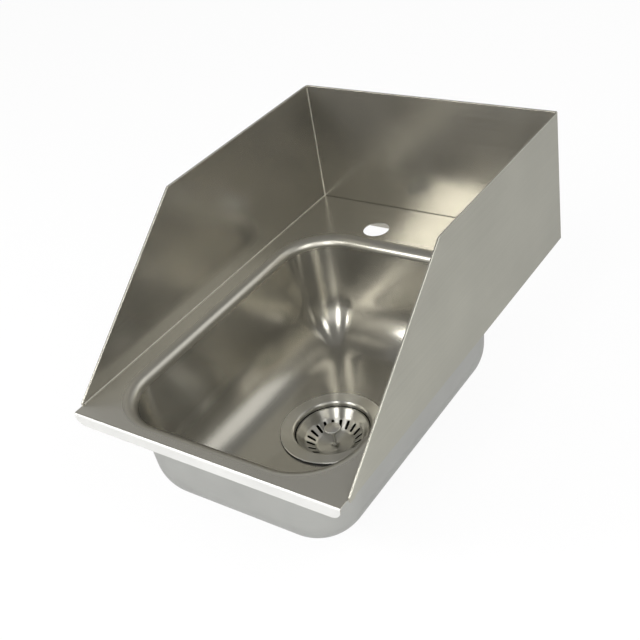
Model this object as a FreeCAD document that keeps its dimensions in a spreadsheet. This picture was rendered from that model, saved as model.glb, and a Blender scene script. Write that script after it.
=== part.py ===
import FreeCAD, Part
import math
import os

import Sketcher
from FreeCAD import Vector

# Driving dimensions, in millimetres and degrees.
SIZES = {
    # deck plate: the ledges are its widths outside the bowl's rim
    "front_ledge": 10.0,
    "side_ledge": 19.5,
    "deck_sheet": 1.2,
    "lip_drop": 14.0,
    "lip_bend": 2.6,
    "lip_corner": 11.0,
    "rear_drop": 35.0,
    "rear_bend": 1.6,
    "rear_clip": 30.0,
    "tap_spacing": 101.6,
    "tap_hole": 31.75,
    "tap_gap": 4.125,
    "tap_setback": 55.0,
    # drawn bowl, measured inside
    "bowl_width": 257.0,
    "bowl_length": 361.0,
    "bowl_depth": 130.5,
    "bowl_corner": 56.0,
    "bowl_cove": 57.0,
    "bowl_draft": 3.5,
    "bowl_sheet": 1.2,
    "rim_roll": 11.5,
    "rim_land": 2.0,
    "rim_stock": 3.6,
    # splash sheets
    "splash_sheet": 1.2,
    "splash_height": 152.4,
    "splash_top_run": 266.7,
    "splash_setback": 13.5,
    "splash_tip": 2.0,
    "splash_skirt": 3.6,
    "hem_width": 8.4,
    "hem_leaf": 1.4,
    "hem_nose": 1.2,
    "hem_notch": 4.0,
    "weld_leg": 2.0,
    # drain cup
    "flange_radius": 59.5,
    "flange_roll": 3.0,
    "flange_edge": 0.8,
    "cup_sheet": 1.2,
    "cup_radius": 43.5,
    "ledge_width": 3.0,
    "ledge_corner": 0.8,
    "cup_corner": 7.0,
    "outlet_seat": 21.0,
    "drain_clearance": 0.6,
    "gasket_height": 2.0,
    "gasket_inset": 2.5,
    # clamping stack under the bowl floor
    "ring_clearance": 0.4,
    "washer_height": 3.0,
    "washer_width": 12.0,
    "ring_height": 1.2,
    "ring_inset": 2.5,
    "nut_flange": 2.2,
    "nut_height": 12.0,
    "nut_wall": 5.0,
    "nut_lugs": 6,
    "lug_width": 9.0,
    "lug_reach": 6.0,
    # outlet, around the waste pipe that slides into it
    "pipe_radius": 19.05,
    "pipe_clearance": 0.55,
    "slip_clearance": 0.25,
    "spigot_wall": 4.2,
    "spigot_length": 24.0,
    "spigot_flange_width": 3.7,
    "spigot_flange_height": 2.0,
    "cross_bars": 4,
    "cross_drop": 2.0,
    "cross_width": 4.0,
    "cross_height": 2.5,
    "guide_wall": 3.0,
    "guide_clearance": 0.8,
    "coupling_height": 17.0,
    "coupling_wall": 6.3,
    "coupling_lip": 3.0,
    "slip_washer_height": 3.0,
    # lift-out basket, inside the cup
    "basket_gap": 1.2,
    "basket_lip": 1.6,
    "lip_edge": 0.35,
    "basket_sheet": 0.8,
    "basket_sink": 6.0,
    "basket_clearance": 0.6,
    "wall_drop": 9.0,
    "wall_inset": 7.8,
    "wall_corner": 3.0,
    "hub_margin": 1.8,
    "hub_drop": 18.0,
    "hub_dish": 2.5,
    "hub_flat": 7.0,
    "hub_round": 7.0,
    "slot_count": 20,
    "slot_width": 3.4,
    "slot_round": 1.5,
    "slot_length": 9.4,
    "slot_margin": 2.3,
    "post_radius": 1.7,
    "post_clearance": 0.1,
    "nut_flats": 6.0,
    "post_nut_height": 2.4,
    "knob_radius": 9.3,
    "knob_height": 4.4,
    "knob_cone": 1.2,
    "knob_dome": 0.8,
    "knob_round": 0.8,
    "dome_round": 9.3,
    "knob_neck": 3.2,
    "knob_rise": 1.0,
    "stopper_lap": 6.0,
    "stopper_height": 4.0,
    "stopper_bevel": 2.0,
    "stopper_round": 1.0,
    "boss_radius": 8.0,
    "boss_height": 4.7,
    "stop_washer_radius": 7.0,
    "stop_washer_height": 1.0,
    "catch_radius": 4.2,
    "catch_round": 2.1,
    "catch_height": 9.0,
    "catch_waist": 3.0,
    "catch_drop": 8.0,
}

doc = FreeCAD.newDocument("drop_in_sink")
sheet = doc.addObject("Spreadsheet::Sheet", "Sizes")
for row, (alias, number) in enumerate(SIZES.items(), start=1):
    sheet.set(f"A{row}", alias)
    sheet.set(f"B{row}", str(number))
    sheet.setAlias(f"B{row}", alias)
doc.recompute()


class Size:
    # A length that knows its number and the expression that drives it.
    def __init__(self, value, text):
        self.value = value
        self.text = text

    def __add__(self, other):
        other = as_size(other)
        return Size(self.value + other.value, f"({self.text} + {other.text})")

    def __sub__(self, other):
        other = as_size(other)
        return Size(self.value - other.value, f"({self.text} - {other.text})")

    def __mul__(self, other):
        other = as_size(other)
        return Size(self.value * other.value, f"({self.text} * {other.text})")

    def __truediv__(self, other):
        other = as_size(other)
        return Size(self.value / other.value, f"({self.text} / {other.text})")

    def __neg__(self):
        return Size(-self.value, f"(0 - {self.text})")


def as_size(number):
    if isinstance(number, Size):
        return number
    return Size(float(number), str(float(number)))


def root_of_squares(first, second):
    return Size(math.hypot(first.value, second.value), f"sqrt({first.text} ^ 2 + {second.text} ^ 2)")


class SheetSizes:
    def __getattr__(self, alias):
        return Size(float(getattr(sheet, alias)), f"Sizes.{alias}")


s = SheetSizes()
ZERO = as_size(0)
TOUCH = 0.01

# Shared by the pieces: z is 0 under the deck plate, x and y are 0 at the bowl's centre.
rim_half_x = s.bowl_width / 2 + s.rim_roll + s.rim_land
rim_half_y = s.bowl_length / 2 + s.rim_roll + s.rim_land
rim_corner = s.bowl_corner + s.rim_roll + s.rim_land
deck_half = rim_half_x + s.side_ledge
deck_top = s.deck_sheet
front_y = -(rim_half_y + s.front_ledge)
tap_y = rim_half_y + s.tap_gap + s.tap_hole / 2
splash_y = tap_y + s.tap_setback
rear_y = splash_y + s.splash_sheet + s.rear_bend
splash_top = deck_top + s.splash_height
bowl_floor = deck_top - s.bowl_depth
bowl_under = bowl_floor - s.bowl_sheet
flange_under = bowl_floor + s.gasket_height
flange_top = flange_under + s.cup_sheet
cup_wall = s.cup_radius - s.ledge_width
basket_radius = s.cup_radius - s.basket_gap
basket_rim = flange_top - s.basket_sink
ledge_z = basket_rim - s.basket_sheet - s.basket_clearance
hub_z = basket_rim - s.hub_drop - s.hub_dish
hub_under = hub_z - s.basket_sheet
cup_floor = hub_under - s.boss_height - s.stopper_height
cup_under = cup_floor - s.cup_sheet
pipe_bore = s.pipe_radius + s.pipe_clearance
post_bore = s.post_radius + s.post_clearance


def bind(item, prop, size):
    size = as_size(size)
    item.setExpression(prop, size.text)


def new_body(name):
    body = doc.addObject("PartDesign::Body", name)
    body.Label = name
    return body


def origin_feature(body, role):
    return next(item for item in body.Origin.OriginFeatures if item.Role == role)


def new_sketch(body, name, plane, lift=ZERO):
    sketch = body.newObject("Sketcher::SketchObject", f"{body.Name}_{name}_sketch")
    sketch.AttachmentSupport = (origin_feature(body, plane), [""])
    sketch.MapMode = "FlatFace"
    if lift is not ZERO:
        bind(sketch, "AttachmentOffset.Base.z", lift)
    return sketch


def hold(sketch, geometry, place, x, y):
    # Ties one point of a sketch to its two driven coordinates.
    for kind, axis, size in (("DistanceX", -2, as_size(x)), ("DistanceY", -1, as_size(y))):
        if size.text == ZERO.text:
            sketch.addConstraint(Sketcher.Constraint("PointOnObject", geometry, place, axis))
        else:
            index = sketch.addConstraint(Sketcher.Constraint(kind, -1, 1, geometry, place, size.value))
            bind(sketch, f"Constraints[{index}]", size)


def corner_arc(before, corner, after, radius):
    # Tangent points, centre and turning sense of a rounded corner.
    inward = (before - corner).normalize()
    outward = (after - corner).normalize()
    half = inward.getAngle(outward) / 2
    reach = radius / math.tan(half)
    centre = corner + (inward + outward).normalize() * (radius / math.sin(half))
    turns_left = (corner - before).cross(after - corner).z > 0
    return corner + inward * reach, corner + outward * reach, centre, turns_left


def outline(sketch, points):
    # Closed profile of straight runs; a point's third value rounds that corner.
    corners = [Vector(as_size(p[0]).value, as_size(p[1]).value, 0) for p in points]
    count = len(points)
    starts = list(corners)
    ends = list(corners)
    arcs = {}
    for i, point in enumerate(points):
        if len(point) < 3:
            continue
        radius = as_size(point[2])
        after = corners[(i + 1) % count]
        enter, leave, centre, left = corner_arc(corners[i - 1], corners[i], after, radius.value)
        starts[i] = leave
        ends[i] = enter
        arcs[i] = (radius, centre, left)
    lines = []
    for i in range(count):
        lines.append(sketch.addGeometry(Part.LineSegment(starts[i], ends[(i + 1) % count])))
    for i, point in enumerate(points):
        before = lines[i - 1]
        after = lines[i]
        if i not in arcs:
            sketch.addConstraint(Sketcher.Constraint("Coincident", before, 2, after, 1))
            hold(sketch, after, 1, point[0], point[1])
            continue
        radius, centre, left = arcs[i]
        first, last = (ends[i], starts[i]) if left else (starts[i], ends[i])
        circle = Part.Circle(centre, Vector(0, 0, 1), radius.value)
        arc = sketch.addGeometry(Part.ArcOfCircle(circle, circle.parameter(first), circle.parameter(last)))
        enter_end, leave_end = (1, 2) if left else (2, 1)
        sketch.addConstraint(Sketcher.Constraint("Tangent", before, 2, arc, enter_end))
        sketch.addConstraint(Sketcher.Constraint("Tangent", arc, leave_end, after, 1))
        index = sketch.addConstraint(Sketcher.Constraint("Radius", arc, radius.value))
        bind(sketch, f"Constraints[{index}]", radius)
        mark = sketch.addGeometry(Part.Point(corners[i]), True)
        sketch.addConstraint(Sketcher.Constraint("PointOnObject", mark, 1, before))
        sketch.addConstraint(Sketcher.Constraint("PointOnObject", mark, 1, after))
        hold(sketch, mark, 1, point[0], point[1])
    return sketch


def circle(sketch, x, y, radius):
    radius = as_size(radius)
    centre = Vector(as_size(x).value, as_size(y).value, 0)
    ring = sketch.addGeometry(Part.Circle(centre, Vector(0, 0, 1), radius.value))
    hold(sketch, ring, 3, x, y)
    index = sketch.addConstraint(Sketcher.Constraint("Radius", ring, radius.value))
    bind(sketch, f"Constraints[{index}]", radius)
    return sketch


def rounded_rectangle(sketch, half_x, half_y, radius):
    return outline(sketch, [
        (half_x, -half_y, radius),
        (half_x, half_y, radius),
        (-half_x, half_y, radius),
        (-half_x, -half_y, radius),
    ])


def polygon(sketch, sides, flats):
    # Regular polygon, flats apart, one corner on the sketch's X axis.
    reach = flats / (2 * math.cos(math.pi / sides))
    points = []
    for i in range(sides):
        turn = 2 * math.pi * i / sides
        points.append((reach * math.cos(turn), reach * math.sin(turn)))
    return outline(sketch, points)


def feature(body, kind, name, sketch=None):
    item = body.newObject(f"PartDesign::{kind}", f"{body.Name}_{name}")
    if sketch is not None:
        item.Profile = sketch
        sketch.Visibility = False
    return item


def pad(body, name, sketch, length, both_ways=False, backwards=False):
    item = feature(body, "Pad", name, sketch)
    bind(item, "Length", length)
    item.SideType = "Symmetric" if both_ways else "One side"
    item.Reversed = backwards
    return item


def cut_through(body, name, sketch):
    item = feature(body, "Pocket", name, sketch)
    item.SideType = "Symmetric"
    item.Type = "ThroughAll"
    doc.recompute()
    if item.Shape.Volume >= item.BaseFeature.Shape.Volume:
        raise RuntimeError(f"{item.Name} removes nothing")
    return item


def turned(body, name, points):
    # Solid of revolution about Z from a profile of (radius, height) points.
    sketch = outline(new_sketch(body, f"{name}_profile", "XZ_Plane"), points)
    item = feature(body, "Revolution", name, sketch)
    item.ReferenceAxis = (origin_feature(body, "Z_Axis"), [""])
    item.Angle = 360
    doc.recompute()
    return item


def ring(name, inner, outer, low, high):
    body = new_body(name)
    turned(body, "ring", [(inner, low), (outer, low), (outer, high), (inner, high)])
    return body


def dress(body, kind, name, base, edges, prop, size):
    # Fillet or chamfer on the edges of the last feature that pass a test.
    picked = [f"Edge{i}" for i, edge in enumerate(base.Shape.Edges, start=1) if edges(edge)]
    if not picked:
        raise RuntimeError(f"{body.Name} {name} finds no edge")
    item = body.newObject(f"PartDesign::{kind}", f"{body.Name}_{name}")
    item.Base = (base, picked)
    bind(item, prop, size)
    doc.recompute()
    return item


def hollow(body, name, base, open_faces, wall):
    # Sheet of even thickness inside a solid, open where the faces are taken off.
    picked = [f"Face{i}" for i, face in enumerate(base.Shape.Faces, start=1) if open_faces(face)]
    item = body.newObject("PartDesign::Thickness", f"{body.Name}_{name}")
    item.Base = (base, picked)
    item.Reversed = True
    item.Join = "Intersection"
    bind(item, "Value", wall)
    doc.recompute()
    return item


def around(body, name, original, count):
    item = body.newObject("PartDesign::PolarPattern", f"{body.Name}_{name}")
    item.Originals = [original]
    item.Axis = (origin_feature(body, "Z_Axis"), [""])
    item.Angle = 360
    bind(item, "Occurrences", count)
    body.Tip = item
    doc.recompute()
    return item


def near(first, second):
    return abs(first - as_size(second).value) < TOUCH


def spans(edge, axis, low, high):
    box = edge.BoundBox
    return near(getattr(box, axis + "Min"), low) and near(getattr(box, axis + "Max"), high)


def at(edge, axis, level):
    return spans(edge, axis, level, level)


def within(edge, half_x, half_y):
    box = edge.BoundBox
    return max(box.XMax, -box.XMin) < half_x.value and max(box.YMax, -box.YMin) < half_y.value


def make_deck():
    # One sheet: lip turned down at the front, taller flange turned down at the back.
    body = new_body("deck")
    lip_low = deck_top - s.lip_drop
    rear_low = deck_top - s.rear_drop
    profile = outline(new_sketch(body, "bend", "YZ_Plane"), [
        (front_y, lip_low),
        (front_y + s.deck_sheet, lip_low),
        (front_y + s.deck_sheet, ZERO, s.lip_bend - s.deck_sheet),
        (rear_y - s.deck_sheet, ZERO, s.rear_bend - s.deck_sheet),
        (rear_y - s.deck_sheet, rear_low),
        (rear_y, rear_low),
        (rear_y, deck_top, s.rear_bend),
        (front_y, deck_top, s.lip_bend),
    ])
    pad(body, "plate", profile, deck_half * 2, both_ways=True)
    aperture = new_sketch(body, "aperture", "XY_Plane")
    rounded_rectangle(aperture, rim_half_x, rim_half_y, rim_corner)
    cut_through(body, "bowl_aperture", aperture)
    holes = new_sketch(body, "taps", "XY_Plane")
    circle(holes, s.tap_spacing / 2, tap_y, s.tap_hole / 2)
    circle(holes, -s.tap_spacing / 2, tap_y, s.tap_hole / 2)
    plate = cut_through(body, "tap_holes", holes)

    def lip_ends(edge):
        return at(edge, "Z", lip_low) and near(edge.BoundBox.XLength, 0) and edge.BoundBox.YMax < 0

    def flange_ends(edge):
        return at(edge, "Z", rear_low) and near(edge.BoundBox.XLength, 0) and edge.BoundBox.YMin > 0

    rounded = dress(body, "Fillet", "lip_ends", plate, lip_ends, "Radius", s.lip_corner)
    dress(body, "Chamfer", "flange_ends", rounded, flange_ends, "Size", s.rear_clip)


def make_bowl():
    # The form under a plate, blended into it and hollowed to sheet.
    body = new_body("bowl")
    land_under = deck_top - s.bowl_sheet
    half_x = s.bowl_width / 2 + s.bowl_sheet
    half_y = s.bowl_length / 2 + s.bowl_sheet
    form_sketch = new_sketch(body, "form", "XY_Plane", land_under)
    rounded_rectangle(form_sketch, half_x, half_y, s.bowl_corner + s.bowl_sheet)
    form = pad(body, "form", form_sketch, s.bowl_depth, backwards=True)
    bind(form, "TaperAngle", -s.bowl_draft)
    rim_sketch = new_sketch(body, "rim", "XY_Plane", land_under)
    rounded_rectangle(rim_sketch, rim_half_x, rim_half_y, rim_corner)
    plate = pad(body, "rim_plate", rim_sketch, s.rim_stock)
    doc.recompute()

    def under_rim(edge):
        return at(edge, "Z", land_under) and within(edge, half_x + TOUCH, half_y + TOUCH)

    def round_floor(edge):
        return at(edge, "Z", bowl_under)

    rolled = dress(body, "Fillet", "rim_roll", plate, under_rim, "Radius", s.rim_roll - s.bowl_sheet)
    coved = dress(body, "Fillet", "cove", rolled, round_floor, "Radius", s.bowl_cove + s.bowl_sheet)

    def above_land(face):
        return face.BoundBox.ZMax > deck_top.value

    hollow(body, "sheet", coved, above_land, s.bowl_sheet)
    drain = new_sketch(body, "drain", "XY_Plane")
    circle(drain, ZERO, ZERO, s.cup_radius + s.cup_sheet + s.drain_clearance)
    cut_through(body, "drain_hole", drain)


def make_backsplash():
    # Upright sheet, hem folded to the back, weld bead along its foot.
    body = new_body("backsplash")
    back = splash_y + s.splash_sheet
    profile = outline(new_sketch(body, "fold", "YZ_Plane"), [
        (splash_y - s.weld_leg, deck_top),
        (back, deck_top),
        (back, splash_top - s.hem_width),
        (back + s.hem_leaf, splash_top - s.hem_width),
        (back + s.hem_leaf, splash_top, s.hem_nose),
        (splash_y, splash_top, s.hem_nose),
        (splash_y, deck_top + s.weld_leg),
    ])
    pad(body, "sheet", profile, deck_half * 2, both_ways=True)


def make_side_splash(name, right):
    # Side sheet; the hem runs up the sloping front edge and along the top, folded outwards.
    body = new_body(name)
    low = deck_top - s.splash_skirt
    tip = deck_top + s.splash_tip
    front = front_y + s.splash_setback
    back = splash_y + s.splash_sheet
    knee = splash_y - s.splash_top_run
    inside = deck_half if right else -deck_half
    outside = inside + s.splash_sheet if right else inside - s.splash_sheet
    sheet_sketch = outline(new_sketch(body, "sheet", "YZ_Plane", inside), [
        (front, low),
        (back, low),
        (back, splash_top),
        (knee, splash_top),
        (front, tip),
    ])
    pad(body, "sheet", sheet_sketch, s.splash_sheet, backwards=not right)
    run = knee - front
    rise = splash_top - tip
    slope = root_of_squares(run, rise)
    hem_low = splash_top - s.hem_width
    hem_knee = knee + s.hem_width * (slope - run) / rise
    hem_foot = front + (s.hem_width * slope - run * (tip - low)) / rise
    hem_sketch = outline(new_sketch(body, "hem", "YZ_Plane", outside), [
        (front, low),
        (hem_foot, low),
        (hem_knee, hem_low),
        (back - s.hem_notch, hem_low),
        (back - s.hem_notch, splash_top),
        (knee, splash_top),
        (front, tip),
    ])
    folded = pad(body, "hem", hem_sketch, s.hem_leaf, backwards=not right)
    doc.recompute()
    outer = outside + s.hem_leaf if right else outside - s.hem_leaf

    def nose(edge):
        box = edge.BoundBox
        on_skin = at(edge, "X", inside) or at(edge, "X", outer)
        on_top = at(edge, "Z", splash_top)
        on_slope = spans(edge, "Z", tip, splash_top) and box.YMax < knee.value + TOUCH
        return on_skin and (on_top or on_slope)

    dress(body, "Fillet", "nose", folded, nose, "Radius", s.hem_nose)


def make_strainer_body():
    # Drain cup: flange, short upper wall, ledge for the basket, lower cup and outlet.
    body = new_body("strainer_body")
    wall = s.cup_sheet
    turned(body, "sheet", [
        (s.outlet_seat, cup_under),
        (cup_wall + wall, cup_under, s.cup_corner + wall),
        (cup_wall + wall, ledge_z - wall),
        (s.cup_radius + wall, ledge_z - wall, s.ledge_corner + wall),
        (s.cup_radius + wall, flange_under, s.flange_roll - wall),
        (s.flange_radius, flange_under),
        (s.flange_radius, flange_top, s.flange_edge),
        (s.cup_radius, flange_top, s.flange_roll),
        (s.cup_radius, ledge_z, s.ledge_corner),
        (cup_wall, ledge_z, s.ledge_corner),
        (cup_wall, cup_floor, s.cup_corner),
        (s.outlet_seat, cup_floor),
    ])


def make_clamping_stack():
    # Gasket above the floor; washer, ring and nut below it.
    bore = s.cup_radius + s.cup_sheet + s.ring_clearance
    gasket_bore = s.cup_radius + s.flange_roll + s.ring_clearance
    ring("flange_gasket", gasket_bore, s.flange_radius - s.gasket_inset, bowl_floor, flange_under)
    outer = bore + s.washer_width
    washer_low = bowl_under - s.washer_height
    ring("sealing_washer", bore, outer, washer_low, bowl_under)
    ring_low = washer_low - s.ring_height
    ring("friction_ring", bore, outer - s.ring_inset, ring_low, washer_low)
    body = new_body("lock_nut")
    thread = cup_wall + s.cup_sheet + s.ring_clearance
    barrel_top = ledge_z - s.cup_sheet - s.ring_clearance
    nut_low = ring_low - s.nut_height
    turned(body, "nut", [
        (thread, nut_low),
        (thread + s.nut_wall, nut_low),
        (thread + s.nut_wall, ring_low - s.nut_flange),
        (outer - s.ring_inset, ring_low - s.nut_flange),
        (outer - s.ring_inset, ring_low),
        (bore, ring_low),
        (bore, barrel_top),
        (thread, barrel_top),
    ])
    lug_sketch = outline(new_sketch(body, "lug", "XY_Plane", nut_low), [
        (thread + s.nut_wall / 2, -s.lug_width / 2),
        (thread + s.nut_wall + s.lug_reach, -s.lug_width / 2),
        (thread + s.nut_wall + s.lug_reach, s.lug_width / 2),
        (thread + s.nut_wall / 2, s.lug_width / 2),
    ])
    lug = pad(body, "lug", lug_sketch, s.nut_height - s.nut_flange)
    doc.recompute()
    around(body, "lugs", lug, s.nut_lugs)


def make_outlet():
    # Threaded spigot under the cup, its cross bars and guide ring, and the slip-joint nut.
    body = new_body("outlet_spigot")
    spigot_radius = pipe_bore + s.spigot_wall
    spigot_flange = spigot_radius + s.spigot_flange_width
    spigot_low = cup_under - s.spigot_length
    turned(body, "tube", [
        (pipe_bore, spigot_low),
        (spigot_radius, spigot_low),
        (spigot_radius, cup_under - s.spigot_flange_height),
        (spigot_flange, cup_under - s.spigot_flange_height),
        (spigot_flange, cup_under),
        (pipe_bore, cup_under),
    ])
    cross_low = cup_under - s.cross_drop - s.cross_height
    guide_bore = s.catch_radius + s.guide_clearance
    bar_start = guide_bore + s.guide_wall / 2
    bar_end = pipe_bore + s.spigot_wall / 2
    bar_sketch = outline(new_sketch(body, "bar", "XY_Plane", cross_low), [
        (bar_start, -s.cross_width / 2),
        (bar_end, -s.cross_width / 2),
        (bar_end, s.cross_width / 2),
        (bar_start, s.cross_width / 2),
    ])
    bar = pad(body, "bar", bar_sketch, s.cross_height)
    doc.recompute()
    around(body, "bars", bar, s.cross_bars)
    guide = new_sketch(body, "guide", "XY_Plane", cross_low)
    circle(guide, ZERO, ZERO, guide_bore + s.guide_wall)
    circle(guide, ZERO, ZERO, guide_bore)
    pad(body, "guide", guide, s.cross_height)
    doc.recompute()

    washer_low = spigot_low - s.slip_washer_height
    ring("coupling_washer", s.pipe_radius + s.slip_clearance, spigot_radius, washer_low, spigot_low)
    nut = new_body("coupling_nut")
    nut_low = washer_low - s.coupling_lip
    thread_radius = spigot_radius + s.ring_clearance
    flats = (thread_radius + s.coupling_wall) * 2
    hexagon = polygon(new_sketch(nut, "hexagon", "XY_Plane", nut_low), 6, flats)
    pad(nut, "hexagon", hexagon, s.coupling_height)
    bore = new_sketch(nut, "bore", "XY_Plane")
    circle(bore, ZERO, ZERO, pipe_bore)
    cut_through(nut, "bore", bore)
    thread = new_sketch(nut, "thread", "XY_Plane", washer_low)
    circle(thread, ZERO, ZERO, thread_radius)
    socket = feature(nut, "Pocket", "thread", thread)
    bind(socket, "Length", s.coupling_height)
    socket.Reversed = True
    doc.recompute()


def make_basket():
    # Lift-out basket: lip, steep wall, slotted cone and dished hub, drawn from one sheet.
    body = new_body("basket_cup")
    gauge = s.basket_sheet
    lip_under = basket_rim - gauge
    lip_inner = basket_radius - s.basket_lip
    cone_top = basket_rim - s.wall_drop
    cone_foot = hub_z + s.hub_dish
    wall_foot = basket_radius - s.wall_inset
    slot_end = wall_foot - s.slot_margin
    slot_start = slot_end - s.slot_length
    hub_radius = slot_start - s.hub_margin
    turned(body, "sheet", [
        (post_bore, hub_under),
        (s.hub_flat, hub_under),
        (hub_radius, cone_foot - gauge, s.hub_round),
        (wall_foot, cone_top - gauge, s.wall_corner + gauge),
        (lip_inner, lip_under),
        (basket_radius, lip_under),
        (basket_radius, basket_rim, s.lip_edge),
        (lip_inner - gauge, basket_rim, s.lip_edge),
        (wall_foot - gauge, cone_top, s.wall_corner),
        (hub_radius, cone_foot, s.hub_round),
        (s.hub_flat, hub_z),
        (post_bore, hub_z),
    ])
    half = s.slot_width / 2
    slot_sketch = outline(new_sketch(body, "slot", "XY_Plane", hub_z), [
        (slot_start, -half, s.slot_round),
        (slot_end, -half, s.slot_round),
        (slot_end, half, s.slot_round),
        (slot_start, half, s.slot_round),
    ])
    slot = cut_through(body, "slot", slot_sketch)
    around(body, "slots", slot, s.slot_count)


def make_post():
    # Rod through the basket with its knob, nut, stopper, washer and catch.
    knob_low = basket_rim + s.knob_rise
    catch_low = cup_floor - s.stop_washer_height - s.catch_drop - s.catch_height
    body = new_body("basket_post")
    turned(body, "rod", [
        (ZERO, catch_low),
        (s.post_radius, catch_low),
        (s.post_radius, knob_low),
        (ZERO, knob_low),
    ])
    body = new_body("basket_knob")
    turned(body, "grip", [
        (ZERO, knob_low),
        (s.knob_neck, knob_low),
        (s.knob_radius, knob_low + s.knob_cone, s.knob_round),
        (s.knob_radius, knob_low + s.knob_height - s.knob_dome, s.knob_round),
        (s.knob_neck, knob_low + s.knob_height, s.dome_round),
        (ZERO, knob_low + s.knob_height),
    ])
    body = new_body("post_nut")
    hexagon = polygon(new_sketch(body, "hexagon", "XY_Plane", hub_z), 6, s.nut_flats)
    circle(hexagon, ZERO, ZERO, post_bore)
    pad(body, "hexagon", hexagon, s.post_nut_height)
    body = new_body("stopper")
    stopper_radius = s.outlet_seat + s.stopper_lap
    turned(body, "plug", [
        (post_bore, cup_floor),
        (stopper_radius - s.stopper_bevel, cup_floor),
        (stopper_radius, cup_floor + s.stopper_bevel, s.stopper_round),
        (stopper_radius, cup_floor + s.stopper_height, s.stopper_round),
        (s.boss_radius, cup_floor + s.stopper_height, s.stopper_round),
        (s.boss_radius, hub_under),
        (post_bore, hub_under),
    ])
    washer_low = cup_floor - s.stop_washer_height
    ring("stopper_washer", post_bore, s.stop_washer_radius, washer_low, cup_floor)
    body = new_body("post_catch")
    turned(body, "bulb", [
        (post_bore, catch_low),
        (s.catch_radius, catch_low + s.catch_waist, s.catch_round),
        (post_bore, catch_low + s.catch_height),
    ])


make_deck()
make_bowl()
make_backsplash()
make_side_splash("left_splash", right=False)
make_side_splash("right_splash", right=True)
make_strainer_body()
make_clamping_stack()
make_outlet()
make_basket()
make_post()
doc.recompute()

bodies = [item for item in doc.Objects if item.TypeId == "PartDesign::Body"]
for item in doc.Objects:
    if "Invalid" in item.State or "Error" in item.State:
        raise RuntimeError(f"{item.Name} failed: {item.State}")
for body in bodies:
    if body.Shape.isNull() or not body.Shape.isValid():
        raise RuntimeError(f"{body.Label} has no valid shape")

os.makedirs("parts", exist_ok=True)
for body in bodies:
    body.Shape.exportStep(f"parts/{body.Label}.step")
    print(body.Label, len(body.Shape.Solids), round(body.Shape.Volume, 1))
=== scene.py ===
import math

import bmesh
import bpy
from mathutils import Matrix, Vector


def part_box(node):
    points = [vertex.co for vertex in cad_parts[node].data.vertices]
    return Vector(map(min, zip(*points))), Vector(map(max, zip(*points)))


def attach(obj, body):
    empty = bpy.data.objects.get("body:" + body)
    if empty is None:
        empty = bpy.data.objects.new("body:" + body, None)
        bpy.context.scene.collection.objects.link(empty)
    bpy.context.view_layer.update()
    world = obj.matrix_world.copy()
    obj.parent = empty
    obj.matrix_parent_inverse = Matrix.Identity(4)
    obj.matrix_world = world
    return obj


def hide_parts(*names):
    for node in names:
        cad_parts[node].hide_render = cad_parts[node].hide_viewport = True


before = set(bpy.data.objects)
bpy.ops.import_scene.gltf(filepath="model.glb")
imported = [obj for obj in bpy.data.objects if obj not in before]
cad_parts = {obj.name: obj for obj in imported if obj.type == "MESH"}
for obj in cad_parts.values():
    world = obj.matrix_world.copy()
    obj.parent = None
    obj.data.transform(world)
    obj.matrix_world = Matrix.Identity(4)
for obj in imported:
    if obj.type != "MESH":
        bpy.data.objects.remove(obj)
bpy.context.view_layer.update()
print("frame loaded:", len(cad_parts), "nodes")

mm = 0.001
tiny = 1e-6  # points closer than this, in metres, count as one
grainMap = "grainMap"  # every steel piece carries this map: u runs with the polishing strokes, in metres


def setInputs(item, values):
    # a node stands for its first output; sockets are linked, anything else is the input's own value
    for key, value in values.items():
        if isinstance(value, bpy.types.Node):
            value = value.outputs[0]
        if isinstance(value, bpy.types.NodeSocket):
            item.id_data.links.new(value, item.inputs[key])
        else:
            item.inputs[key].default_value = value


def addNode(tree, kind, values=None, **settings):
    item = tree.nodes.new(kind)
    for key, value in settings.items():
        setattr(item, key, value)
    setInputs(item, values or {})
    return item


def mathNode(tree, operation, *values):
    return addNode(tree, "ShaderNodeMath", dict(enumerate(values)), operation=operation)


def newMaterial(name):
    material = bpy.data.materials.new(name)
    material.use_nodes = True
    tree = material.node_tree
    return material, tree, tree.nodes["Principled BSDF"]


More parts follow.
